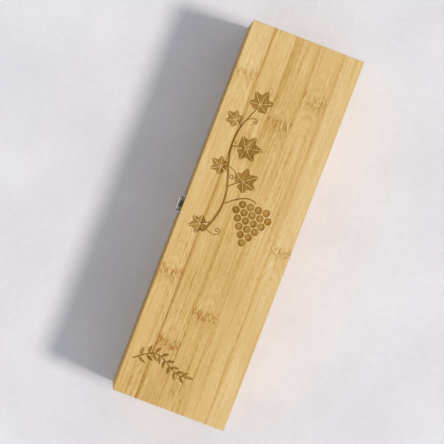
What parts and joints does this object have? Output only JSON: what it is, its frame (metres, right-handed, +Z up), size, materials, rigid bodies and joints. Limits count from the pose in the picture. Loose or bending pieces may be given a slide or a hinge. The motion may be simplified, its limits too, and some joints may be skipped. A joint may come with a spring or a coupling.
{
  "type": "wine box",
  "caption": "Long bamboo box for one bottle: finger-jointed base with two bottle supports, a hinged tray lid and a small toggle latch.",
  "frame": {"origin": "centre of the underside of the base, midway between its ends and between its front and back walls", "axes": "+Z up, through the lid; +X along the length, from the neck end (head) to the foot end; the latch is on -Y and the hinges on +Y"},
  "size_m": [0.36, 0.1157, 0.105],
  "materials": {
    "lid_panel_bamboo": "satin lacquered laminated bamboo",
    "board_bamboo": "satin lacquered laminated bamboo",
    "end_board_bamboo": "satin lacquered laminated bamboo",
    "support_bamboo": "sanded bamboo",
    "hinge_nickel": "bright nickel plate",
    "latch_nickel": "bright nickel plate",
    "pin_steel": "nickel-plated wire",
    "screw_nickel": "nickel plate"
  },
  "bodies": {
    "base": {"bottom_panel": "board_bamboo", "base_front_wall": "board_bamboo", "base_back_wall": "board_bamboo", "base_head_wall": "end_board_bamboo", "base_foot_wall": "end_board_bamboo", "body_cradle": "support_bamboo", "neck_cradle": "support_bamboo", "head_hinge_base_leaf": "hinge_nickel", "foot_hinge_base_leaf": "hinge_nickel", "head_hinge_pin": "pin_steel", "foot_hinge_pin": "pin_steel", "hinge_base_screws": "screw_nickel", "latch_plate": "latch_nickel", "latch_plate_screws": "screw_nickel", "lever_pin": "pin_steel"},
    "lid": {"top_panel": "lid_panel_bamboo", "lid_front_rail": "board_bamboo", "lid_back_rail": "board_bamboo", "lid_head_rail": "end_board_bamboo", "lid_foot_rail": "end_board_bamboo", "head_hinge_lid_leaf": "hinge_nickel", "foot_hinge_lid_leaf": "hinge_nickel", "hinge_lid_screws": "screw_nickel", "catch_plate": "latch_nickel", "catch_plate_screws": "screw_nickel"},
    "lever": {"latch_lever": "latch_nickel"},
    "bail": {"latch_bail": "pin_steel"}
  },
  "joints": [
    {"name": "lid_hinge", "type": "hinge", "parent": "base", "child": "lid", "pos_m": [0, 0.0544, 0.0761], "axis": [-1, 0, 0], "range_deg": [0, 180]},
    {"name": "latch_lever", "type": "hinge", "parent": "base", "child": "lever", "pos_m": [0, -0.0564, 0.0701], "axis": [-1, 0, 0], "range_deg": [0, 150]},
    {"name": "latch_bail", "type": "hinge", "parent": "lever", "child": "bail", "pos_m": [0, -0.0561, 0.0656], "axis": [-1, 0, 0], "range_deg": [-150, 0]}
  ],
  "couplings": [
    {"joint": "latch_bail", "follows": "latch_lever", "ratio": -1}
  ]
}
